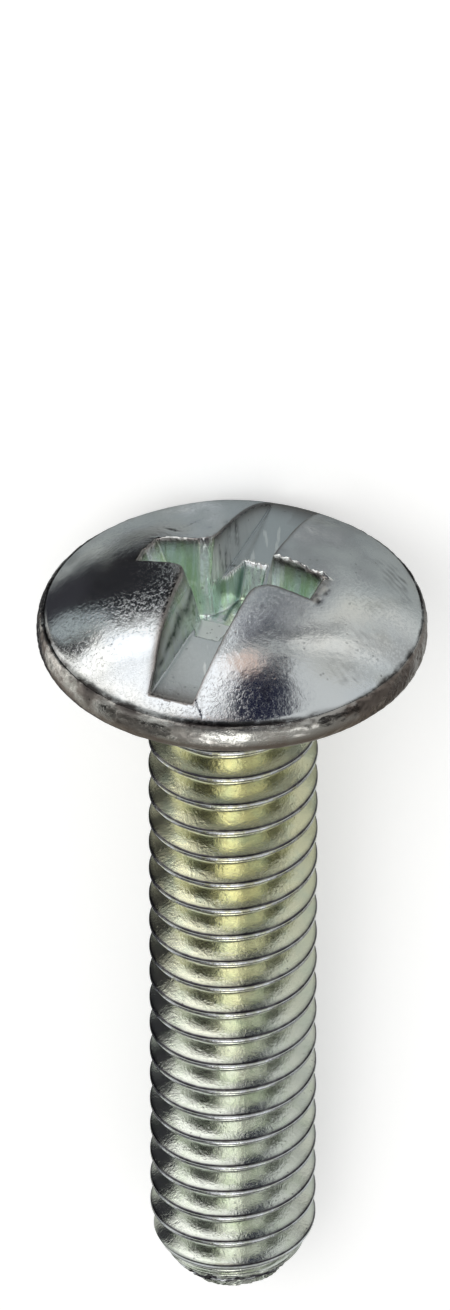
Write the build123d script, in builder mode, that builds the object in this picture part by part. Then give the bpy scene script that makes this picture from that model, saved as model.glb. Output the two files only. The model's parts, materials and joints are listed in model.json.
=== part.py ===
from build123d import *
import math
import os

os.makedirs("parts", exist_ok=True)

# A truss head machine screw, No. 8-32 by 3/4 inch, cold formed in one piece.
# It has a wide low dome with a bullnose rim, a slot that runs across the whole dome,
# and a cross recess in the middle of the slot. The shank is as thick as the thread's crests.
# Lengths are in millimetres and angles in degrees.

# Shank, as thick as the crests of its thread, and the short rounded cone of its point
shank_length = 19.05
crest_radius = 2.06
point_length = 1.05
point_radius = 1.28
point_bulge = 0.10
fillet_radius = 0.16

# Head
head_radius = 4.72
rim_lip = 0.18
rim_height = 0.68
widest_height = 0.24
bearing_inset = 0.08
dome_rise = 1.56
dome_overreach = 0.88

# Slot, its width measured on its floor
slot_depth = 1.28
slot_width = 1.22
slot_draft = 8

# Cross recess, measured level with the top of the head
recess_span = 4.70
recess_depth = 2.10
wing_width = 1.08
wing_side_draft = 8.5
wing_end_draft = 26.5
corner_radius = 0.42
bottom_corner_radius = 0.12
core_radius = 0.60
core_depth = 0.28
tool_clearance = 0.20

# How far the drive is turned about the axis as the screw comes to rest
drive_turn = 21.8

# Sizes that follow from the ones above
head_height = rim_height + dome_rise
crease_radius = head_radius - rim_lip
bearing_radius = head_radius - bearing_inset
dome_reach = crease_radius + dome_overreach
dome_flattening = 1 - math.sqrt(1 - (crease_radius / dome_reach) ** 2)
dome_half_height = dome_rise / dome_flattening
dome_start = math.degrees(math.acos(crease_radius / dome_reach))

# The screw is drawn upright, its bearing face on XY and its head above it
with BuildPart() as upright:

    # The blank is one turned outline: point, shank, bearing face, bullnose rim and dome
    with BuildSketch(Plane.XZ):
        with BuildLine():
            Polyline((0, head_height), (0, -shank_length), (point_radius, -shank_length))
            cone = SagittaArc(
                (point_radius, -shank_length),
                (crest_radius, -shank_length + point_length),
                -point_bulge,
            )
            Line(cone @ 1, (crest_radius, -fillet_radius))
            CenterArc(
                (crest_radius + fillet_radius, -fillet_radius),
                fillet_radius,
                start_angle=90,
                arc_size=90,
            )
            Line((crest_radius + fillet_radius, 0), (bearing_radius, 0))
            EllipticalCenterArc(
                (bearing_radius, widest_height),
                bearing_inset,
                widest_height,
                start_angle=270,
                arc_size=90,
            )
            EllipticalCenterArc(
                (crease_radius, widest_height),
                rim_lip,
                rim_height - widest_height,
                start_angle=0,
                arc_size=90,
            )
            EllipticalCenterArc(
                (0, head_height - dome_half_height),
                dome_reach,
                dome_half_height,
                start_angle=dome_start,
                arc_size=90 - dome_start,
            )
        make_face()
    revolve(axis=Axis.Z)

    # The slot has drafted walls and a flat floor that runs out through the dome
    drive = Plane.XY.rotated((0, 0, -drive_turn))
    slot_plane = Plane(drive.origin, x_dir=drive.x_dir, z_dir=-drive.y_dir)
    slot_floor = head_height - slot_depth
    slot_top = head_height + tool_clearance
    floor_half = slot_width / 2
    top_half = floor_half + (slot_top - slot_floor) * math.tan(math.radians(slot_draft))
    with BuildSketch(slot_plane):
        with BuildLine():
            Polyline(
                (-floor_half, slot_floor),
                (floor_half, slot_floor),
                (top_half, slot_top),
                (-top_half, slot_top),
                close=True,
            )
        make_face()
    extrude(amount=head_radius, both=True, mode=Mode.SUBTRACT)

    # The cross recess narrows with depth, its wings end on steeper faces than their sides
    def cross_section(depth, corner):
        """Outline of the cross at a depth below the top of the head."""
        span = recess_span - 2 * depth * math.tan(math.radians(wing_end_draft))
        width = wing_width - 2 * depth * math.tan(math.radians(wing_side_draft))
        with BuildSketch(drive.offset(head_height - depth)) as section:
            Rectangle(span, width)
            Rectangle(width, span)
            inner = section.vertices().sort_by_distance(section.sketch.center())[:4]
            fillet(inner, corner)
        return section.sketch

    loft(
        sections=[
            cross_section(-tool_clearance, corner_radius),
            cross_section(recess_depth, bottom_corner_radius),
        ],
        ruled=True,
        mode=Mode.SUBTRACT,
    )

    # A shallow cone sinks the middle of the recess floor
    with BuildSketch(Plane.XZ):
        with BuildLine():
            Polyline(
                (0, head_height - recess_depth),
                (core_radius, head_height - recess_depth),
                (0, head_height - recess_depth - core_depth),
                close=True,
            )
        make_face()
    revolve(axis=Axis.Z, mode=Mode.SUBTRACT)

# At rest the screw lies on the rim of its head and the edge of its point, head end high,
# with the head towards -Y. The origin is the middle of its footprint, on the surface it lies on.
rest_tilt = math.atan2(head_radius - crest_radius, widest_height + shank_length - point_length)
tilted = Plane(
    origin=(0, 0, 0),
    x_dir=(-1, 0, 0),
    z_dir=(0, -math.cos(rest_tilt), math.sin(rest_tilt)),
)
with BuildPart(tilted) as lying:
    add(upright.part)

footprint = lying.part.bounding_box()
with BuildPart(Plane((0, -footprint.center().Y, -footprint.min.Z))) as screw:
    add(lying.part)

screw.part.label = "screw"
export_step(screw.part, "parts/screw.step")
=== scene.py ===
import json
import math

import bpy
import numpy as np
from mathutils import Matrix, Vector


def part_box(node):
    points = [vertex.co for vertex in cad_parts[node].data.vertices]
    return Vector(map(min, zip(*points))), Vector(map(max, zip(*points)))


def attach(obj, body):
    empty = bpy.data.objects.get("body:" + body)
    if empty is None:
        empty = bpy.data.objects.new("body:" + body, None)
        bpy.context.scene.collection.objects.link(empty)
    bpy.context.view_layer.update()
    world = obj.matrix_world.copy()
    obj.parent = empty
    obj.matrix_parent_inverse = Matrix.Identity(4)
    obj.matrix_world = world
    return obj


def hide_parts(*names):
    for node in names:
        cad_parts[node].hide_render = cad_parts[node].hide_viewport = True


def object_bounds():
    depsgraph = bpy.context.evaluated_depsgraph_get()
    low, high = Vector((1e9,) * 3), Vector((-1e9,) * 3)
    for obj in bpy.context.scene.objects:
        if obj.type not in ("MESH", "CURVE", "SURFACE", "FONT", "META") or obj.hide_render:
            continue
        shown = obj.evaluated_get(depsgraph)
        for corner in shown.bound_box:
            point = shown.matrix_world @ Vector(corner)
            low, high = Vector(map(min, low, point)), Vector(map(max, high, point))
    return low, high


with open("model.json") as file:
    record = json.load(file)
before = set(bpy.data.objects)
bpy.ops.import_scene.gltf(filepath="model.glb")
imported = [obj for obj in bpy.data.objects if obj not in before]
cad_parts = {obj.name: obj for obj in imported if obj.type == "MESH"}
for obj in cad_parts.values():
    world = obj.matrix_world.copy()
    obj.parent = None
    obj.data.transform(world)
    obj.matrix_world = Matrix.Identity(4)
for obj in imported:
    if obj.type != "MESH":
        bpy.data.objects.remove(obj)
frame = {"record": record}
cad_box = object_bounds()

# Screw head
# A low wide dome of cold formed steel with a bullnose rim, plated with bright zinc. A punch has
# left a slot across the whole dome, a cross recess in its middle and burrs along its far edges.

# The screw is drawn upright in millimetres, its bearing face at height 0 and its head above,
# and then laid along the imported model's own axis, which falls from the head to the point
mounts = {mount["name"]: mount for mount in frame["record"]["mounts"]}
head_top = Vector(mounts["drive"]["pos_m"])
upward = Vector(mounts["drive"]["axis"]).normalized()
seat_point = Vector(mounts["seat"]["pos_m"])
head_height = (head_top - seat_point).dot(upward) * 1000
seat_centre = head_top - upward * head_height / 1000
rightward = Vector((-1, 0, 0))
backward = upward.cross(rightward)
lowest, highest = (Vector(corner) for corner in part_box("screw"))

# Blank: rim, bearing face, neck and the ellipse of the dome
head_radius = (highest.x - lowest.x) / 2 * 1000
rim_lip = 0.18
rim_height = 0.68
widest_height = 0.24
bearing_inset = 0.08
bearing_start = 4.3
dome_overreach = 0.88
crease_depth = 0.035
crease_width = 0.045
rim_shift = -0.05
neck_radius = 2.06
neck_fillet = 0.16

# Slot, its width measured on its floor, with a flatter wall and a chamfered lip near left
slot_depth = 1.28
slot_width = 1.22
slot_draft = math.radians(8)
near_left_foot = 0.48
near_left_draft = math.radians(14)
chamfer_angle = math.radians(28)
chamfer_height = 0.62
chamfer_foot = 0.09

# Cross recess, measured level with the top of the head
recess_span = 4.50
recess_depth = 2.10
recess_cone = 0.16
cone_radius = 0.6
near_step = 0.62
wing_width = 1.02
wing_flare = 0.26
wing_side_draft = math.radians(8.5)
wing_end_draft = math.radians(26.5)
right_wing_extra = 0.11
cross_across = -0.08
cross_along = -0.05
drive_turn = math.radians(21.8)

# Ragged metal that the punch has left
nick_depth = 0.03
left_burr = 0.034
right_burr = 0.095
end_burr = 0.012
floor_ridge = 0.035

# Sizes that follow from the ones above
crease_radius = head_radius - rim_lip
dome_reach = crease_radius + dome_overreach
dome_flattening = 1 - math.sqrt(1 - (crease_radius / dome_reach) ** 2)
dome_half_height = (head_height - rim_height) / dome_flattening
slot_floor = head_height - slot_depth
recess_floor = head_height - recess_depth
floor_span = recess_span - 2 * recess_depth * math.tan(wing_end_draft)
floor_wing = wing_width - 2 * recess_depth * math.tan(wing_side_draft)


def fade(value, start, width):
    """A straight rise: 0 up to start, 1 from start plus width on."""
    return np.clip((value - start) / width, 0, 1)


def bell(distance, width):
    """A bell curve: e to the power of minus the square of distance over width."""
    return np.exp(-((distance / width) ** 2))


def ripple(x, y, z, size, seed):
    """Smooth noise from -1 to 1: six sine waves of random direction, about one swell per size."""
    random = np.random.default_rng(seed)
    total = 0
    for _ in range(6):
        direction = random.normal(size=3)
        direction *= 2 * np.pi / size / np.linalg.norm(direction) * random.uniform(0.6, 1.6)
        phase = random.uniform(0, 6.3)
        total = total + np.sin(direction[0] * x + direction[1] * y + direction[2] * z + phase)
    return total / 3


def rounded_low(a, b, softness):
    """The lower of two heights. Closer than softness they are blended, and cut by a parabola."""
    blend = np.clip(0.5 + 0.5 * (b - a) / softness, 0, 1)
    return b * (1 - blend) + a * blend - softness * blend * (1 - blend)


def rounded_high(a, b, softness):
    """The higher of two heights, rounded the same way: rounded_low turned upside down."""
    return -rounded_low(-a, -b, softness)


def drive_frame(x, y):
    """Place in the drive's own axes: x and y turned by the drive's angle, along towards the viewer."""
    across = x * math.cos(drive_turn) - y * math.sin(drive_turn)
    along = -x * math.sin(drive_turn) - y * math.cos(drive_turn)
    return across, along


def dome_height(radius):
    """Height of the dome at a distance from the axis, on the upper part of an ellipse."""
    radius = np.minimum(radius, crease_radius)
    return head_height - dome_half_height * (1 - np.sqrt(1 - (radius / dome_reach) ** 2))


def slot_lip(along):
    """Distance from the slot's middle to its lip: half the width plus wall height times draft."""
    rise = dome_height(np.abs(along)) - slot_floor
    return slot_width / 2 + rise * math.tan(slot_draft)


def by_quarter(sideways, lengthways, near_left, near_right, far_left, far_right):
    """One of four values, by the quarter of the head that a place is in."""
    near = np.where(sideways < 0, near_left, near_right)
    return np.where(lengthways > 0, near, np.where(sideways < 0, far_left, far_right))


def wing_walls(across, along):
    """Walls of one wing pair: distance past the floor's edge over the tangent of the draft."""
    side = recess_floor + (np.abs(across) - floor_wing / 2) / math.tan(wing_side_draft)
    end = recess_floor + (np.abs(along) - floor_span / 2) / math.tan(wing_end_draft)
    return rounded_high(side, end, softness=0.25)


def cross_walls(across, along):
    """Walls of both wing pairs, whichever is lower, with wide rounded corners between the wings.

    Flutes from the punch shift each place a little, most of all at the far left corner.
    """
    far_left_corner = np.exp(-((across + 1.0) ** 2 + (along + 0.85) ** 2) / 0.12)
    flutes = 0.005 * ripple(across, along, 0, size=0.16, seed=11)
    flutes = flutes + 0.007 * ripple(across, along, 0, size=0.4, seed=12)
    flutes = flutes + 0.022 * ripple(across, along, 0, size=0.11, seed=13) * far_left_corner
    sideways = across - cross_across + flutes
    lengthways = along - cross_along + flutes

    # The right wing is a little longer, and the wings along the slot flare towards the middle
    from_middle = np.where(sideways > 0, np.maximum(sideways - right_wing_extra, 0), sideways)
    side_wings = wing_walls(lengthways, from_middle)
    flare = wing_flare * fade(1.45 - np.abs(lengthways), 0, 0.95)
    long_wings = wing_walls(np.maximum(np.abs(sideways) - flare, 0), lengthways)
    rib = by_quarter(sideways, lengthways, near_left=3.6, near_right=4.2, far_left=4.4, far_right=0.6)
    return sideways, lengthways, side_wings, rounded_low(side_wings, long_wings, rib)


def floor_burr(across, along):
    """A ragged ridge on the slot's floor, a bell curve along the far end of the recess."""
    walls = cross_walls(across, along)[3]
    ragged = np.clip(0.5 + 0.9 * ripple(across, along, 0, size=0.10, seed=23), 0, 1.2)
    on_far_floor = (along < -0.5) * (across < 0.66) * (across > -1.0)
    return floor_ridge * ragged * bell(walls - slot_floor - 0.10, 0.12) * on_far_floor


def punched_height(across, along):
    """Lower surface of the whole drive: the slot and both wing pairs, whichever is lower."""
    sideways, lengthways, side_wings, walls = cross_walls(across, along)
    near_left = (lengthways > 0) & (across < 0)

    # The slot's two drafted walls, the near left one with a chamfer along its lip
    foot = np.where(near_left, near_left_foot, slot_width / 2)
    draft = np.where(near_left, math.tan(near_left_draft), math.tan(slot_draft))
    waves = 0.004 * ripple(across, along, 0, size=0.3, seed=14)
    slot_wall = slot_floor + (np.abs(across) + waves - foot) / draft
    past_foot = -across - slot_width / 2 - chamfer_foot
    chamfer = slot_floor + chamfer_height + past_foot / math.tan(chamfer_angle)
    chamfer = chamfer + 3 * fade(-along, 0, 1)
    slot_wall = np.where(across < 0, np.minimum(slot_wall, chamfer), slot_wall)

    # The slot with its floor, and the corners where it meets the side wings
    corner = by_quarter(sideways, lengthways, near_left=0.9, near_right=4.2, far_left=4.4, far_right=0.6)
    slot = rounded_high(rounded_low(side_wings, slot_wall, corner), slot_floor, softness=0.05)
    slot = slot + floor_burr(across, along)

    # The recess below it, with a cone in its floor and a step at its near end
    cone = recess_floor - recess_cone * fade(cone_radius - np.hypot(sideways, lengthways), 0, cone_radius)
    step = near_step + np.minimum(lengthways - 0.52, 0) * 6
    ledge = 0.05 + 1.1 * near_left * fade(1.5 - lengthways, 0, 0.3)
    return rounded_high(rounded_low(walls, slot, ledge), np.maximum(cone, step), softness=0.08)


def burr_height(across, along):
    """A thin ragged ridge on the dome: bell curves along the wings' far edges and the right end."""
    sideways = across - cross_across
    outside = cross_along - along - wing_width / 2
    ragged = 0.65 + 0.5 * ripple(across, along, 0, size=0.35, seed=21)
    ragged = np.clip(ragged + 0.6 * ripple(across, along, 0, size=0.11, seed=22), 0, 1.3)
    left = fade(-sideways, 0.95, 0.15) * fade(2.3 + sideways, 0, 0.1)
    right = fade(sideways, 0.85, 0.1) * fade(2.4 - sideways, 0, 0.1)
    end = bell(sideways - recess_span / 2 - 0.02, 0.035) * fade(0.50 - np.abs(along + 0.1), 0, 0.1)
    left_ridge = left_burr * left * bell(outside - 0.010, 0.022)
    right_ridge = right_burr * right * bell(outside - 0.022, 0.036)
    return ragged * (left_ridge + right_ridge + end_burr * end)


def scars(across, along):
    """Nicks and dents in the dome: at each place a bell curve along it times one across it."""
    total = 0
    for place_across, place_along, long, wide, turn in [
        (-0.78, -1.62, 0.16, 0.07, 80), (-0.69, -1.95, 0.14, 0.05, 80), (-0.52, -1.42, 0.06, 0.05, 0),
        (-1.62, -1.30, 0.26, 0.018, 118), (-1.95, -0.95, 0.20, 0.022, 20), (2.12, -0.62, 0.10, 0.035, 60),
        (2.36, -0.05, 0.14, 0.05, 95), (2.33, 0.38, 0.12, 0.05, 100), (1.35, -0.60, 0.12, 0.03, 0),
        (0.74, 4.10, 0.12, 0.025, 50), (0.90, 4.22, 0.14, 0.025, 60), (0.76, -1.50, 0.20, 0.02, 90),
        (-0.64, -1.15, 0.14, 0.035, 75), (-0.58, -1.38, 0.09, 0.03, 30), (-0.68, -0.95, 0.07, 0.04, 0),
    ]:
        angle = math.radians(turn)
        past_across = across - place_across
        past_along = along - place_along
        lengthways = past_across * math.cos(angle) + past_along * math.sin(angle)
        sideways = past_along * math.cos(angle) - past_across * math.sin(angle)
        total = total + bell(lengthways, long) * bell(sideways, wide)
    return total


def head_surface(x, y):
    """Height of the head's top at a place: the dome or the punched drive, whichever is lower."""
    across, along = drive_frame(x, y)
    inside = crease_radius - np.minimum(np.hypot(x, y), crease_radius)
    uneven = 0.006 * ripple(x, y, 0, size=2.2, seed=31)
    uneven = uneven + 0.0022 * ripple(x, y, 0, size=0.9, seed=32) - 0.012
    dome = dome_height(np.hypot(x, y)) + uneven * fade(inside, 0, 0.3)
    dome = dome - crease_depth * bell(inside, crease_width)
    dome = dome + burr_height(across, along) - nick_depth * scars(across, along)
    return rounded_low(dome, punched_height(across, along), softness=0.03)


def spread(knots, counts):
    """Numbers from the first knot to the last, evenly spaced in each stretch between two knots."""
    stretches = zip(knots[:-1], knots[1:], counts)
    parts = [np.linspace(start, end, count, endpoint=False) for start, end, count in stretches]
    return np.concatenate(parts + [[knots[-1]]])


# Rows run across the slot, close together over the wings and over both ends
last_even_row = 4.0
row_half = spread([0, 0.18, 0.66, 1.2, 2.1, last_even_row], [5, 30, 16, 26, 40])
pole_angle = np.linspace(math.acos(last_even_row / crease_radius), 0, 30, endpoint=False)[1:]
row_half = np.concatenate([row_half, crease_radius * np.cos(pole_angle)])
rows = np.concatenate([-row_half[:0:-1], row_half])
reach = np.sqrt(crease_radius ** 2 - rows ** 2)

# Columns run along the slot and follow its walls from the floor's edge to the lip
right_lip = slot_lip(rows)
chamfer_rise = dome_height(np.abs(rows)) - slot_floor - chamfer_height
chamfer_lip = slot_width / 2 + chamfer_foot + chamfer_rise * math.tan(chamfer_angle)
left_lip = np.where(rows > 0, np.maximum(right_lip, chamfer_lip), right_lip)
column_share = spread(range(10), [2, 16, 4, 17, 7, 22, 9, 13, 5])
squeeze = 8


def half_columns(lip):
    """Distances of the columns from the slot's middle, row by row, for the side with that lip.

    Ten stations share the columns out. Where a row is short, they are squeezed together below
    its end: station times reach, over the eighth root of the sum of both eighth powers.
    """
    still = 0 * rows
    stations = [
        still, still + 0.08, still + 0.46, still + slot_width / 2 - 0.03, lip - 0.04, lip + 0.06,
        still + 2.05, still + 2.5,
    ]
    stations = [k * reach / (k ** squeeze + reach ** squeeze) ** (1 / squeeze) for k in stations]
    stations += [reach - 0.12 * reach / crease_radius, reach]
    by_row = np.array(stations).T
    half = np.array([np.interp(column_share, range(10), row) for row in by_row])
    return np.sort(half, axis=1)


columns = np.concatenate([-half_columns(left_lip)[:, :0:-1], half_columns(right_lip)], axis=1)
row_places = np.repeat(rows[:, None], columns.shape[1], axis=1)
top_x = columns * math.cos(drive_turn) - row_places * math.sin(drive_turn)
top_y = -columns * math.sin(drive_turn) - row_places * math.cos(drive_turn)
top = np.stack([top_x, top_y, head_surface(top_x, top_y)], axis=-1).reshape(-1, 3)
row_count, column_count = columns.shape
number = np.arange(row_count * column_count).reshape(row_count, column_count)
top_corners = [number[:-1, :-1], number[1:, :-1], number[1:, 1:], number[:-1, 1:]]
top_quads = np.stack(top_corners, axis=-1).reshape(-1, 4)

# The two poles close the first and the last row
pole_x = np.array([1, -1]) * crease_radius * math.sin(drive_turn)
pole_y = np.array([1, -1]) * crease_radius * math.cos(drive_turn)
poles = np.stack([pole_x, pole_y, np.full(2, rim_height - crease_depth)], axis=-1)
first_pole = len(top)
last_pole = first_pole + 1
fans = np.concatenate([
    np.stack([np.full(column_count - 1, first_pole), number[0, :-1], number[0, 1:]], axis=-1),
    np.stack([np.full(column_count - 1, last_pole), number[-1, 1:], number[-1, :-1]], axis=-1),
])
ring_start = np.concatenate([[first_pole], number[:, -1], [last_pole], number[::-1, 0]])
edge_x, edge_y, _ = np.concatenate([top, poles])[ring_start].T
ring_angle = np.arctan2(edge_y, edge_x)

# Rim, bearing face and neck, as rings below the crease: quarter ellipses joined by a flat
turn = np.linspace(0.12, np.pi / 2, 15)
lower_turn = np.linspace(0, np.pi / 2, 9)[1:]
upper_rim = [
    crease_radius + rim_lip * np.sin(turn),
    widest_height + (rim_height - widest_height) * np.cos(turn),
]
lower_rim = [
    head_radius - bearing_inset * (1 - np.cos(lower_turn)),
    widest_height * (1 - np.sin(lower_turn)),
]
bearing = [np.linspace(bearing_start, neck_radius + neck_fillet, 8), np.zeros(8)]
neck = [
    neck_radius + neck_fillet * (1 - np.sin(lower_turn)),
    -neck_fillet * (1 - np.cos(lower_turn)),
]
inner_ring = [[1.2], [-neck_fillet]]
profile_radius, profile_height = np.concatenate([upper_rim, lower_rim, bearing, neck, inner_ring], axis=1)
ring_count = len(ring_angle)
radius = np.repeat(profile_radius[:, None], ring_count, axis=1)
height = np.repeat(profile_height[:, None], ring_count, axis=1)
ring_x = radius * np.cos(ring_angle)
ring_y = radius * np.sin(ring_angle)

# Wear takes a little off the rim, and the rim is a little narrower on the right
outward = fade(radius, crease_radius, rim_lip)
wear = 0.014 * np.abs(ripple(ring_x, ring_y, height, size=1.3, seed=4))
wear = wear + 0.010 * np.abs(ripple(ring_x, ring_y, height, size=0.4, seed=5))
wear = wear + 0.010 * np.clip(ripple(ring_x, ring_y, height, size=0.20, seed=6), 0, 1)
narrower = rim_shift * np.clip(np.cos(ring_angle), 0, 1)
ring_x = ring_x + (narrower - wear * np.cos(ring_angle)) * outward
ring_y = ring_y - wear * np.sin(ring_angle) * outward
height = height - wear * fade(height, widest_height, 0.2)
rings = np.stack([ring_x, ring_y, height], axis=-1).reshape(-1, 3)

ring_base = last_pole + 1
loops = ring_base + np.arange(len(rings)).reshape(-1, ring_count)
loops = np.concatenate([ring_start[None], loops])
following = np.roll(loops, -1, axis=1)
ring_corners = [loops[:-1], following[:-1], following[1:], loops[1:]]
ring_quads = np.stack(ring_corners, axis=-1).reshape(-1, 4)
inner_pole = ring_base + len(rings)
inner_fan = np.stack([np.full(ring_count, inner_pole), loops[-1], following[-1]], axis=-1)


def lay_down(points):
    """Upright millimetres to metres on the floor: seat centre plus x, y, z along the screw's axes."""
    axes = np.array([rightward, backward, upward])
    return np.array(seat_centre) + (points / 1000) @ axes


def solid_from(name, points, quads, triangles=()):
    """One closed smooth mesh from upright points in millimetres and arrays of corner numbers."""
    mesh = bpy.data.meshes.new(name)
    faces = np.asarray(quads).tolist() + np.asarray(triangles).tolist()
    mesh.from_pydata(lay_down(points).tolist(), [], faces)
    mesh.validate()
    mesh.polygons.foreach_set("use_smooth", np.ones(len(mesh.polygons), dtype=bool))
    mesh.update()
    piece = bpy.data.objects.new(name, mesh)
    bpy.context.collection.objects.link(piece)
    return piece


head_points = np.concatenate([top, poles, rings, [[0, 0, -neck_fillet]]])
head_quads = np.concatenate([top_quads, ring_quads])
head = solid_from("screw_head", head_points, head_quads, np.concatenate([fans, inner_fan]))
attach(head, "root")
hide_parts("screw")

# Where the plating looks different, marked at each point of the mesh for the material
x, y, z = head_points.T
across, along = drive_frame(x, y)
radius = np.hypot(x, y)
on_top = np.arange(len(x)) <= last_pole
below_dome = np.where(on_top, dome_height(radius) - z, 0)
in_slot = (np.abs(across) < slot_lip(along) + 0.02) * (z > slot_floor - 0.03)
near_left = in_slot * (across < -0.45) * (along > 0.3)
above_floor = z - slot_floor


def paint(piece, name, values):
    """A number from 0 to 1 at each point of the mesh, which the material reads by its name."""
    layer = piece.data.attributes.new(name, "FLOAT", "POINT")
    layer.data.foreach_set("value", np.clip(values, 0, 1).astype(np.float32).ravel())


# Drive: its floors and walls, and the film in the recess
paint(head, "bottom", (near_step + 0.06 - z) / 0.05 * (along > 0.45) * (below_dome > 1))
paint(head, "slot", in_slot * (below_dome - 0.07) / 0.06)
paint(head, "slot_floor", in_slot * (below_dome > 0.1) * (0.07 - above_floor) / 0.04)
filmed_wall = near_left * (below_dome > 0.07) * (above_floor > 0.04)
paint(head, "recess", (1 - in_slot) * (below_dome - 0.05) / 0.05 + 0.35 * filmed_wall)

# Stains and painted light in the drive: specks on the near left wall, a dark seam across it
# that is painted shade, white streaks beside the column that are painted highlights, and dark
# strips along it that are painted shade
left_wall = near_left * (below_dome > 0.05) * (above_floor > 0.03)
wall_share = above_floor / np.maximum(below_dome + above_floor, 0.05)
seam_line = wall_share - 0.5 - 0.05 * ripple(x, y, z, size=0.8, seed=44)
# Painted shade: a dark line across the middle of the near left wall
paint(head, "seam", left_wall * bell(seam_line, 0.10))
paint(head, "mottled", left_wall * fade(0.55 - wall_share, 0, 0.3) * fade(2.0 - along, 0, 0.9))
beside_column = np.hypot(across + 0.573 + 0.433 * z, along + 0.21 + 0.54 * z)
# Column: a tinted film, with white streaks on it that are painted highlights
paint(head, "column", (below_dome > 0.08) * (1 - in_slot) * bell(beside_column, 0.20))
# Painted shade: dark strips on the recess walls beside the column
shade_strips = bell(across + 0.36, 0.05) + 0.6 * bell(across + 0.64, 0.09)
paint(head, "shade_strips", (above_floor < -0.02) * (along < -0.35) * shade_strips)

# Lips and burrs: painted shade in dark brown along the lips, bright burrs, dark nicks, and a
# painted shadow on the walls just under the burrs on the right
dome_burr = on_top * burr_height(across, along) / 0.03 * (below_dome < 0.03)
paint(head, "burr", dome_burr + (below_dome > 0.5) * floor_burr(across, along) / 0.022)
# Painted shade: a dark brown line along the lips of the drive
inner_dome = on_top * (radius < 4.22) * (below_dome < 0.5)
above_punch = np.where(on_top, punched_height(across, along) - dome_height(radius), 1)
right_side = across > 0
lip_line = bell(above_punch - 0.04 * right_side, np.where(right_side, 0.36, 0.24))
paint(head, "lip", inner_dome * lip_line)
# Painted shadow on the walls just under the right wing's burr and at its end
undercut = (across > 0.8) * (along < 0) + (across > 2.0)
undercut = undercut * np.clip(0.45 + 0.9 * ripple(x, y, z, size=0.25, seed=42), 0, 1)
sunk = on_top * (radius < 4.3) * fade(below_dome, 0.014, 0.012)
nicks_and_shadow = scars(across, along) * (0.6 + 0.6 * ripple(x, y, z, size=0.12, seed=41))
nicks_and_shadow = nicks_and_shadow * (1 - 0.7 * (radius > 3.8)) + undercut * sunk * fade(0.22 - below_dome, 0, 0.08)
paint(head, "scar_and_shadow", on_top * (above_floor > -0.02) * nicks_and_shadow)

# Rim: dirt and painted shade in its crease, wear that grows towards both sides, and brown
# with painted shade on its underside
dirt_and_shade_width = 0.030 + 0.045 * np.abs(ripple(x, y, 0, size=1.1, seed=43))
dirt_and_shade_width = dirt_and_shade_width + 0.045 * (x < 0.5) * (y < -1)
# Dirt and painted shade: a dark line along the crease
paint(head, "crease", bell(radius - crease_radius, dirt_and_shade_width) * (z > 0.4))
paint(head, "rim", (radius - crease_radius) / 0.05 * (z > -0.01))
paint(head, "rubbed", 0.10 * x + 0.22 * np.abs(x) - 0.05)
# Brown and painted shade: the rim's lower half and the head's underside darker
paint(head, "underside", (0.34 - z) / 0.20 * (radius > 4.3) + (radius < 4.5) * (1 - on_top))


class Wire:
    """One socket of a material. Arithmetic on it adds Math nodes, numbers stay in Python."""

    def __init__(self, finish, socket):
        self.finish = finish
        self.socket = socket

    def math(self, operation, *values):
        """The result of that Math operation on wires and numbers."""
        return self.finish.node("ShaderNodeMath", {"operation": operation}, dict(enumerate(values)))

    def __add__(self, other):
        return self.math("ADD", self, other)

    __radd__ = __add__

    def __mul__(self, other):
        return self.math("MULTIPLY", self, other)

    __rmul__ = __mul__

    def __sub__(self, other):
        return self.math("SUBTRACT", self, other)

    def __rsub__(self, other):
        return self.math("SUBTRACT", other, self)


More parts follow.
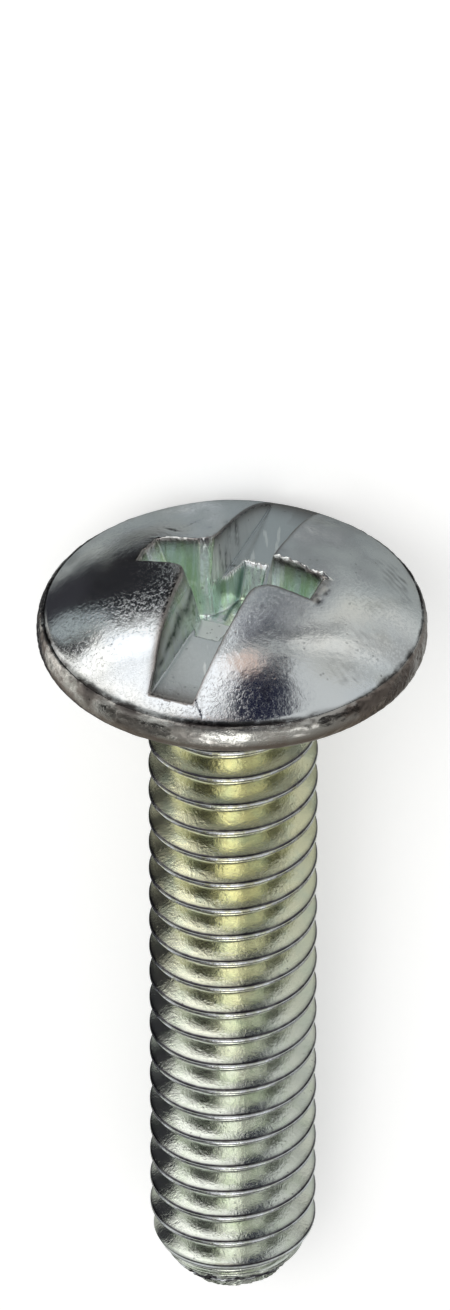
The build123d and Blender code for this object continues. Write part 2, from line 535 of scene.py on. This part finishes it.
class Finish:
    """A node material or world. node() adds any node: first its settings, then its sockets."""

    def __init__(self, owner):
        self.owner = owner
        owner.use_nodes = True
        self.tree = owner.node_tree
        self.tree.nodes.clear()

    def node(self, kind, settings=None, sockets=None, output=0):
        node = self.tree.nodes.new(kind)
        for name, value in (settings or {}).items():
            setattr(node, name, value)
        for name, value in (sockets or {}).items():
            if isinstance(value, Wire):
                self.tree.links.new(value.socket, node.inputs[name])
            else:
                node.inputs[name].default_value = value
        return Wire(self, node.outputs[output]) if node.outputs else node

    def mark(self, name):
        """The number that paint() left on the mesh under this name."""
        return self.node("ShaderNodeAttribute", {"attribute_name": name}, output="Fac")

    def noise(self, place, scale, detail=2.0, roughness=0.5):
        """Cloudy noise around one half. A swell is about one over scale metres long."""
        return self.node(
            "ShaderNodeTexNoise", None,
            {"Vector": place, "Scale": scale, "Detail": detail, "Roughness": roughness},
        )

    def ramp(self, value, low, high):
        """0 below low, 1 above high and smooth between."""
        return self.node(
            "ShaderNodeMapRange", {"interpolation_type": "SMOOTHSTEP"},
            {"Value": value, "From Min": low, "From Max": high},
        )

    def mix(self, share, first, second):
        """The first colour, with that share of the second."""
        return self.node("ShaderNodeMix", {"data_type": "RGBA"}, {0: share, 6: first, 7: second}, output=2)

    def coats(self, colour, layers):
        """A base colour with layers of share and colour on it, each over the ones before."""
        for share, coat in layers:
            colour = self.mix(share, colour, coat)
        return colour

    def stretched(self, place, turn, scale):
        """The place turned and scaled, so that a noise on it becomes streaks."""
        return self.node("ShaderNodeMapping", None, {"Vector": place, "Rotation": turn, "Scale": scale})

    def pitting(self, place, scale, size, share):
        """Small spots in the middles of cells, only where a wider noise is above share."""
        distance = self.node("ShaderNodeTexVoronoi", None, {"Vector": place, "Scale": scale})
        allowed = self.ramp(self.noise(place, scale * 0.21, detail=1.0), share, share + 0.08)
        return self.ramp(distance, size, size * 0.5) * allowed

    def plate(self, piece, colour, roughness, relief):
        """Bare plated metal on a piece. Relief is the height of its bumps in micrometres."""
        bump = self.node("ShaderNodeBump", None, {"Strength": 1.0, "Distance": 0.000001, "Height": relief})
        surface = self.node(
            "ShaderNodeBsdfPrincipled", None,
            {"Base Color": colour, "Metallic": 1.0, "Roughness": roughness, "Normal": bump},
        )
        self.node("ShaderNodeOutputMaterial", None, {"Surface": surface})
        piece.data.materials.append(self.owner)


# Bright zinc, from blue to cream
zinc = (0.68, 0.69, 0.69, 1)
blue_zinc = (0.58, 0.62, 0.66, 1)
cream_zinc = (0.73, 0.71, 0.64, 1)
slot_zinc = (0.86, 0.87, 0.85, 1)
slot_floor_zinc = (0.56, 0.60, 0.625, 1)
scratched_zinc = (0.90, 0.92, 0.92, 1)
burr_zinc = (0.88, 0.89, 0.86, 1)

# Film, stains, painted highlights and painted shade in the drive
green_film = (0.72, 0.84, 0.65, 1)
teal_film = (0.86, 0.95, 0.94, 1)
column_film = (0.76, 0.92, 0.90, 1)
bottom_film = (0.95, 0.98, 0.97, 1)
glint_white = (1, 1, 1, 1)
olive_specks = (0.16, 0.22, 0.12, 1)
seam_shade = (0.06, 0.075, 0.07, 1)
strip_shade = (0.10, 0.19, 0.17, 1)

# Wear, dirt and painted shade
worn_brown = (0.20, 0.165, 0.145, 1)
underside_shade_brown = (0.17, 0.13, 0.10, 1)
lip_shade = (0.15, 0.125, 0.11, 1)
grime_and_shade = (0.045, 0.040, 0.038, 1)

dome_zinc = Finish(bpy.data.materials.new("dome_zinc"))
place = dome_zinc.node("ShaderNodeTexCoord", output="Object")
bottom, slot, flat, recess, column, burr, rim = (
    dome_zinc.mark(name) for name in ["bottom", "slot", "slot_floor", "recess", "column", "burr", "rim"]
)

# Streaks run down the recess walls and along the slot, scuffs around the rim
fall = (math.atan2(upward.z, -upward.y), 0, 0)
with_slot = (0, drive_turn, 0)
down_walls = dome_zinc.stretched(place, fall, (1, 0.10, 1))
along_slot = dome_zinc.stretched(place, with_slot, (1, 1, 0.03))
fine_along_slot = dome_zinc.stretched(place, with_slot, (1, 1, 0.05))
around_rim = dome_zinc.stretched(place, (0, 0, 0), (0.5, 1.3, 1))
slanting = dome_zinc.stretched(place, (0, 0.7, 0), (1, 1, 0.8))
cool = dome_zinc.ramp(dome_zinc.noise(place, 330.0, detail=3.0), 0.40, 0.66)
warm = dome_zinc.ramp(dome_zinc.noise(place, 520.0), 0.52, 0.72)
streaks = dome_zinc.noise(down_walls, 4200.0, detail=3.0, roughness=0.6)
scratches = dome_zinc.ramp(dome_zinc.noise(along_slot, 5200.0), 0.66, 0.72)
scuffs = dome_zinc.ramp(dome_zinc.noise(around_rim, 1300.0, detail=6.0, roughness=0.7), 0.42, 0.60)
speckle = dome_zinc.ramp(dome_zinc.noise(place, 5500.0, detail=5.0, roughness=0.65), 0.44, 0.60)
pits = dome_zinc.pitting(place, 5200.0, size=0.22, share=0.50)
# Dirt and painted shade: the dark line in the crease, and dark pits
dirt_and_shade = dome_zinc.mark("crease") * (0.55 + scuffs * 0.5) + pits * 0.40
film = dome_zinc.mix(dome_zinc.ramp(streaks, 0.38, 0.58), green_film, teal_film)
colour = dome_zinc.coats(zinc, [
    (cool * 0.7, blue_zinc),
    (warm * 0.5, cream_zinc),
    (slot * 0.85, slot_zinc),
    (flat * 0.85, slot_floor_zinc),
    (flat * scratches * 0.8, scratched_zinc),
    (recess, film),
    (column * 0.8, column_film),
    # painted highlights: white streaks on the column
    (column * dome_zinc.ramp(streaks, 0.50, 0.56), glint_white),
    (dome_zinc.mark("mottled") * speckle * 0.75, olive_specks),
    # painted shade: the dark seam on the near left wall
    (dome_zinc.mark("seam") * (0.65 + speckle * 0.3), seam_shade),
    # painted shade: dark strips beside the column
    (dome_zinc.mark("shade_strips") * 0.85, strip_shade),
    (bottom, bottom_film),
    (rim * 0.6, cream_zinc),
    (rim * (dome_zinc.mark("rubbed") * 0.9 + scuffs * 0.55), worn_brown),
    # brown and painted shade on the rim's underside
    (rim * dome_zinc.mark("underside") * 0.85, underside_shade_brown),
    # dirt and painted shade in the crease, and pits
    (dome_zinc.ramp(dirt_and_shade, 0.0, 1.0), grime_and_shade),
    # painted shade along the lips
    (dome_zinc.mark("lip") * 0.85, lip_shade),
    # dark nicks, and the painted shadow under the burrs
    (dome_zinc.mark("scar_and_shadow") * 0.8, grime_and_shade),
    (burr * 0.8, burr_zinc),
])

# Relief of the plating, of the slot's cut walls and of knocks from handling
grain = dome_zinc.noise(place, 9000.0, detail=3.0, roughness=0.6)
swell = dome_zinc.noise(place, 2300.0)
orange_peel = dome_zinc.noise(place, 5200.0, detail=3.0, roughness=0.6)
lines = dome_zinc.noise(fine_along_slot, 11000.0, detail=3.0, roughness=0.6)
dents = dome_zinc.noise(place, 2600.0, detail=4.0, roughness=0.65)
bruised = dome_zinc.ramp(dome_zinc.noise(place, 300.0), 0.42, 0.62)
handling = dome_zinc.noise(slanting, 12500.0, detail=3.0, roughness=0.65)
knocks = dome_zinc.ramp(handling, 0.50, 0.64) * (0.12 + bruised * 0.88) * (1 - slot)
relief = (
    grain * (2.8 - 2.2 * slot + 3.5 * recess)
    + swell * (4.5 - 2.0 * slot)
    + orange_peel * (3.6 - 3.0 * slot)
    + streaks * (recess * 9.0 + column * 16.0)
    + lines * (slot * 4.5 - flat * 3.4 + recess * 2.5)
    + knocks * 3.2
    + dents * rim * 7.0
    - pits * 1.5
)
roughness = (
    0.10 + grain * 0.12 + slot * 0.25 - flat * 0.19 + recess * 0.08 + bottom * 0.15
    + rim * (0.03 + scuffs * 0.18)
)
dome_zinc.plate(head, colour, roughness, relief)

# Threaded shank
# A right-hand thread of 32 turns to the inch, rolled between flat dies. Its crests are narrow
# and a little folded in the middle, and the last turn fades out on the cone of the point.
shank_length = 19.05
crest_radius = 2.06
root_radius = 1.60
pitch = 25.4 / 32
crest_flat = 0.11
root_flat = 0.10
first_root = 0.645
fold_depth = 0.018
fold_width = 0.014
runout_start = 0.18
runout_length = 0.30
hidden_top = -0.1
point_length = 1.35
point_radius = 1.33
point_curve = 1.4
torn_length = 0.55
torn_depth = 0.080
end_raise = 0.014

# One turn's profile by the distance from the middle of the crest: flat, straight flank, flat root
flank = (pitch - crest_flat - root_flat) / 2
near_crest = [0, 0.012, 0.026, 0.040, 0.050, 0.060, 0.072, 0.090, 0.14, 0.22, 0.29]
near_root = [0.085, 0.068, 0.054, 0.042, 0.028, 0]
from_crest = np.concatenate([near_crest, pitch / 2 - np.array(near_root)])
straight = (pitch / 2 - root_flat / 2 - from_crest) / flank
share_up = rounded_high(rounded_low(straight, 1, softness=0.09), 0, softness=0.10)
share_up = share_up - fold_depth / (crest_radius - root_radius) * bell(from_crest, fold_width)

# Rows climb one pitch in each turn, so the last column meets the first one a turn higher
rise = np.concatenate([pitch / 2 - from_crest[::-1], pitch / 2 + from_crest[1:-1]])
share_up = np.concatenate([share_up[::-1], share_up[1:-1]])
from_crest = np.abs(rise - pitch / 2)
turn_rows = len(rise)
turns = round(shank_length / pitch) + 3
angles = 108
theta = np.arange(angles) / angles * 2 * np.pi
row_z = (np.arange(-turns, 0)[:, None] * pitch + rise).ravel()
z = row_z[:, None] + pitch * theta / (2 * np.pi) - first_root + 2 * pitch
thread_radius = root_radius + (crest_radius - root_radius) * np.tile(share_up, turns)[:, None]

# Near the head the groove runs out, and at the point the cone cuts the crests down
runout = fade(-z, runout_start, runout_length)
thread_radius = crest_radius - (crest_radius - thread_radius) * runout
up_cone = fade(z, -shank_length, point_length)
envelope = point_radius + (crest_radius - point_radius) * (1 - (1 - up_cone) ** point_curve)
thread_radius = rounded_low(thread_radius, envelope, softness=0.05)

# The edge of the point is torn all round, a little further up on one side
tip = fade(torn_length + 0.12 * np.cos(theta + 0.6) - z - shank_length, 0, 0.06)
torn = ripple(2 * np.cos(theta), 2 * np.sin(theta), z * 9, size=1.0, seed=61)
torn = torn + 0.5 * ripple(5 * np.cos(theta), 5 * np.sin(theta), z * 20, size=1.0, seed=62)
bite = np.clip(torn_depth + 0.055 * torn + 0.02 * np.cos(theta), 0, 1)
thread_radius = thread_radius - tip * bite * (z > -shank_length)

# Both ends close on the axis: the point's flat end, and the top, which is hidden in the neck
past_end = fade(-z, shank_length, pitch * 0.8)
flat_end = np.minimum(thread_radius, point_radius) * (1 - past_end)
thread_radius = np.where(z < -shank_length, flat_end, thread_radius)
thread_radius = thread_radius * (1 - fade(z, hidden_top, pitch * 0.25))
z = np.clip(z, end_raise - shank_length, hidden_top)
shank = np.stack([thread_radius * np.cos(theta), thread_radius * np.sin(theta), z], axis=-1)
index = np.arange(z.size).reshape(z.shape)
here = index[:-turn_rows]
ahead = np.concatenate([here[:, 1:], index[turn_rows:, :1]], axis=1)
shank_quads = np.stack([here[:-1], ahead[:-1], ahead[1:], here[1:]], axis=-1).reshape(-1, 4)
threads = solid_from("screw_shank", shank.reshape(-1, 3), shank_quads)
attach(threads, "root")
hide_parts("screw")

# Painted shade lies on both edges of a crest, a painted highlight on its fold, and the torn
# point is dull
# Painted shade along both edges of each crest
crest_edge_shade = np.tile(bell(from_crest - 0.062, 0.030), turns)[:, None]
# Painted highlight along each crest's fold
crest_fold = np.tile(bell(from_crest, 0.030), turns)[:, None]
on_side = (z > 0.15 - shank_length) * (z < -0.2)
end_share = np.where(z > 0.03 - shank_length, 1, 0.3)
paint(threads, "edge_shade", crest_edge_shade * on_side)
paint(threads, "fold", crest_fold * on_side)
paint(threads, "tip", tip * np.clip(0.5 + 0.6 * torn, 0, 1) * end_share)

yellow_film = (0.73, 0.715, 0.49, 1)
pale_film = (0.70, 0.725, 0.655, 1)
green_cast = (0.57, 0.63, 0.50, 1)
thread_dirt_and_shade = (0.060, 0.054, 0.066, 1)
fold_highlight_zinc = (0.80, 0.81, 0.86, 1)

thread_zinc = Finish(bpy.data.materials.new("thread_zinc"))
place = thread_zinc.node("ShaderNodeTexCoord", output="Object")
tip_mark = thread_zinc.mark("tip")

# Along the shank the film is yellow, and paler towards both ends
along_shank = thread_zinc.node("ShaderNodeSeparateXYZ", None, {"Vector": place}, output="Y")
patchy = thread_zinc.noise(place, 420.0) - 0.5
toward_point = thread_zinc.ramp(along_shank + patchy * 0.006, -0.003, 0.005)
near_head = thread_zinc.ramp(along_shank + patchy * 0.004, -0.0060, -0.0085)
mottle = thread_zinc.ramp(thread_zinc.noise(place, 1700.0, detail=4.0, roughness=0.6), 0.45, 0.70)
rub = thread_zinc.noise(place, 3800.0, detail=3.0, roughness=0.6)
pits = thread_zinc.pitting(place, 6500.0, size=0.20, share=0.53)
# Dirt and painted shade: the torn point, dark lines on both edges of each crest, and pits
dirt_and_shade = (
    tip_mark * thread_zinc.ramp(rub, 0.40, 0.62) * 0.95
    + thread_zinc.mark("edge_shade") * (0.55 + rub * 0.9)
    + pits * 0.35
)
colour = thread_zinc.coats(yellow_film, [
    (toward_point, pale_film),
    (near_head * 0.6, pale_film),
    (mottle * 0.6, green_cast),
    (thread_zinc.ramp(dirt_and_shade, 0.0, 1.0), thread_dirt_and_shade),
    # painted highlight along the fold of each crest
    (thread_zinc.mark("fold") * (1.15 - thread_zinc.ramp(rub, 0.46, 0.60)), fold_highlight_zinc),
])
grain = thread_zinc.noise(place, 13000.0, detail=4.0, roughness=0.65)
swell = thread_zinc.noise(place, 3400.0, detail=3.0)
relief = grain * 8.5 + swell * 8.0 - pits * 3.0 + tip_mark * rub * 30.0
thread_zinc.plate(threads, colour, 0.06 + grain * 0.11, relief)

# Floor
# A plain pale sheet under the screw, which keeps its soft shadow. In the metal it shows
# painted reflections: darker patches, as the unlit parts of a table top, and patches brighter
# than white.
bpy.ops.mesh.primitive_plane_add(size=2.0, location=(0, 0, cad_box[0][2]))
floor = bpy.context.object
floor.name = "floor"
pale = Finish(bpy.data.materials.new("pale_floor"))
place = pale.node("ShaderNodeTexCoord", output="Object")


def blotch(finish, place, centre, radii, turn, softness, wobble):
    """1 inside a turned ellipse of those half widths and 0 outside, with an uneven soft edge."""
    placing = {
        "Vector": place,
        "Location": (*centre, 0),
        "Rotation": (0, 0, math.radians(turn)),
        "Scale": (*radii, 1),
    }
    local = finish.node("ShaderNodeMapping", {"vector_type": "TEXTURE"}, placing)
    distance = finish.node("ShaderNodeVectorMath", {"operation": "LENGTH"}, {0: local}, output="Value")
    return finish.ramp(distance + wobble, 1 + softness, 1 - softness)


# Painted reflections, seen only in the metal, as patches in metres on the floor: centre, half
# widths, turn in degrees and colour
wobble = (pale.noise(place, 260.0, detail=7.0, roughness=0.75) - 0.5) * 1.6
cloudy = pale.ramp(pale.noise(place, 120.0, detail=3.0), 0.35, 0.65)
mirrored = pale.mix(cloudy, (0.80, 0.86, 0.86, 1), (0.96, 0.96, 0.92, 1))
for centre, radii, turn, colour in [
    ((-0.0010, -0.0105), (0.0085, 0.0048), 0, (0.50, 0.54, 0.54, 1)),
    ((-0.026, -0.058), (0.014, 0.032), 0, (1.3, 1.3, 1.25, 1)),
    ((-0.025, 0.004), (0.016, 0.013), 0, (0.20, 0.20, 0.20, 1)),
    ((-0.020, -0.014), (0.0065, 0.0120), 0, (0.62, 0.63, 0.62, 1)),
    ((-0.0035, -0.060), (0.0060, 0.044), 0, (0.06, 0.065, 0.09, 1)),
    ((-0.0125, -0.068), (0.0040, 0.042), 0, (0.07, 0.075, 0.09, 1)),
    ((0.060, -0.090), (0.078, 0.034), -52, (2.3, 2.3, 2.3, 1)),
    ((0.0205, -0.0130), (0.0070, 0.0120), 0, (1.9, 1.9, 1.9, 1)),
    ((0.0150, -0.0175), (0.0100, 0.0042), -42, (0.06, 0.06, 0.065, 1)),
    ((0.007, -0.0185), (0.0055, 0.0095), 0, (0.03, 0.03, 0.035, 1)),
    ((0.0075, 0.0020), (0.0045, 0.012), 0, (0.05, 0.05, 0.06, 1)),
    ((0.0115, -0.0163), (0.0019, 0.0050), 8, (0.52, 0.59, 0.61, 1)),
    ((0.0078, -0.0108), (0.0020, 0.0022), 0, (0.05, 0.05, 0.06, 1)),
]:
    mirrored = pale.mix(blotch(pale, place, centre, radii, turn, 0.25, wobble), mirrored, colour)
camera_ray = pale.node("ShaderNodeLightPath", output="Is Camera Ray")
glossy_ray = pale.node("ShaderNodeLightPath", output="Is Glossy Ray")
sheet = pale.mix(glossy_ray, (0.86, 0.86, 0.85, 1), mirrored)
matt = pale.node("ShaderNodeBsdfDiffuse", None, {"Color": sheet})
lift = pale.node("ShaderNodeEmission", None, {"Color": (1, 1, 1, 1), "Strength": camera_ray * 0.40})
lifted = pale.node("ShaderNodeAddShader", None, {0: matt, 1: lift})
pale.node("ShaderNodeOutputMaterial", None, {"Surface": lifted})
floor.data.materials.append(pale.owner)

# Soft studio light
# An even white surround for the light. In the metal it shows as a studio does, with a bright
# window in front to the left, a dark strip beside it and a lit panel behind.
world = bpy.data.worlds.new("studio")
bpy.context.scene.world = world
air = Finish(world)
direction = air.node("ShaderNodeTexCoord", output="Generated")
east, north, up = (
    air.node("ShaderNodeSeparateXYZ", None, {"Vector": direction}, output=axis) for axis in "XYZ"
)

# Two maps of the surround in degrees, one around the front and one around the back
degrees = 180 / math.pi
rising = up.math("ARCSINE", up) * degrees
around_front = east.math("ARCTAN2", east, 0 - north) * degrees
around_back = east.math("ARCTAN2", east, north) * degrees
frontal = air.node("ShaderNodeCombineXYZ", None, {"X": around_front, "Y": rising})
rearward = air.node("ShaderNodeCombineXYZ", None, {"X": around_back, "Y": rising})
unrest = (air.noise(direction, 6.0, detail=6.0, roughness=0.7) - 0.5) * 1.3

# Patches on a map: centre, half widths, turn, softness of the edge and colour
seen = air.mix(air.ramp(north, -0.2, 0.2), (0.72, 0.75, 0.76, 1), (0.42, 0.43, 0.42, 1))
seen = air.mix(air.ramp(up, 0.72, 0.9), seen, (0.45, 0.45, 0.44, 1))
for view, centre, radii, turn, softness, colour in [
    (frontal, (0, 66), (80, 19), 0, 0.2, (0.10, 0.10, 0.11, 1)),
    (frontal, (25, 6), (34, 28), 0, 0.2, (1.5, 1.5, 1.5, 1)),
    (frontal, (17, 40), (18, 7), 0, 0.3, (0.76, 0.67, 0.63, 1)),
    (frontal, (-11, 29), (14.5, 22), 0, 0.10, (0.008, 0.011, 0.036, 1)),
    (frontal, (-14, 5), (4, 11), 0, 0.3, (0.03, 0.035, 0.05, 1)),
    (frontal, (-34, -3), (9, 9), 0, 0.4, (0.62, 0.63, 0.60, 1)),
    (frontal, (-4, 4), (5, 6), 0, 0.4, (0.95, 0.70, 0.58, 1)),
    (rearward, (18, 65), (39, 14), -14, 0.2, (2.6, 2.6, 2.55, 1)),
    (rearward, (62, 37), (32, 21), 125, 0.2, (0.01, 0.01, 0.01, 1)),
    (rearward, (85, 2), (8, 9), 0, 0.3, (1.2, 1.2, 1.2, 1)),
    (rearward, (-62, 49), (9, 9), 0, 0.3, (1.7, 1.75, 1.75, 1)),
    (rearward, (-80, 24), (17, 23), 0, 0.2, (0.04, 0.04, 0.04, 1)),
]:
    seen = air.mix(blotch(air, view, centre, radii, turn, softness, unrest), seen, colour)
camera_ray = air.node("ShaderNodeLightPath", output="Is Camera Ray")
glossy_ray = air.node("ShaderNodeLightPath", output="Is Glossy Ray")
plain = air.mix(camera_ray, (0.55, 0.55, 0.55, 1), (1, 1, 1, 1))
around = air.mix(glossy_ray, plain, seen)
background = air.node("ShaderNodeBackground", None, {"Color": around, "Strength": 1.0})
air.node("ShaderNodeOutputWorld", None, {"Surface": background})

# One soft lamp above the head's left, which the metal doesn't mirror
lamp = bpy.data.lights.new("key_light", "AREA")
lamp.shape = "RECTANGLE"
lamp.size = 0.08
lamp.size_y = 0.08
lamp.energy = 0.06
key_light = bpy.data.objects.new("key_light", lamp)
key_light.location = (0.04, -0.05, 0.12)
key_light.rotation_euler = (-key_light.location).to_track_quat("-Z", "Y").to_euler()
key_light.visible_glossy = False
bpy.context.collection.objects.link(key_light)

# Camera
# It stands in front of and above the head, at the photograph's angle to the screw's axis,
# turned so that the head is at the top of the picture.
view_drop = math.radians(36.44)
view_distance = 0.300
focal_pixels = 12525.0
frame_height = 1310
sensor_height = 36.0
leftward_shift = 0.196 / 1000
downward_shift = 0.479 / 1000
sight = backward * math.cos(view_drop) - upward * math.sin(view_drop)
picture_up = backward * math.sin(view_drop) + upward * math.cos(view_drop)
lens = bpy.data.cameras.new("photo_camera")
lens.sensor_fit = "VERTICAL"
lens.sensor_height = sensor_height
lens.lens = focal_pixels / frame_height * sensor_height
lens.clip_start = 0.001
lens.clip_end = 10.0
camera = bpy.data.objects.new("photo_camera", lens)
camera.location = (
    seat_centre - sight * view_distance - rightward * leftward_shift - picture_up * downward_shift
)
camera.rotation_euler = Matrix([rightward, picture_up, -sight]).transposed().to_euler()
bpy.context.collection.objects.link(camera)
bpy.context.scene.camera = camera

bpy.context.scene.view_settings.view_transform = "Standard"
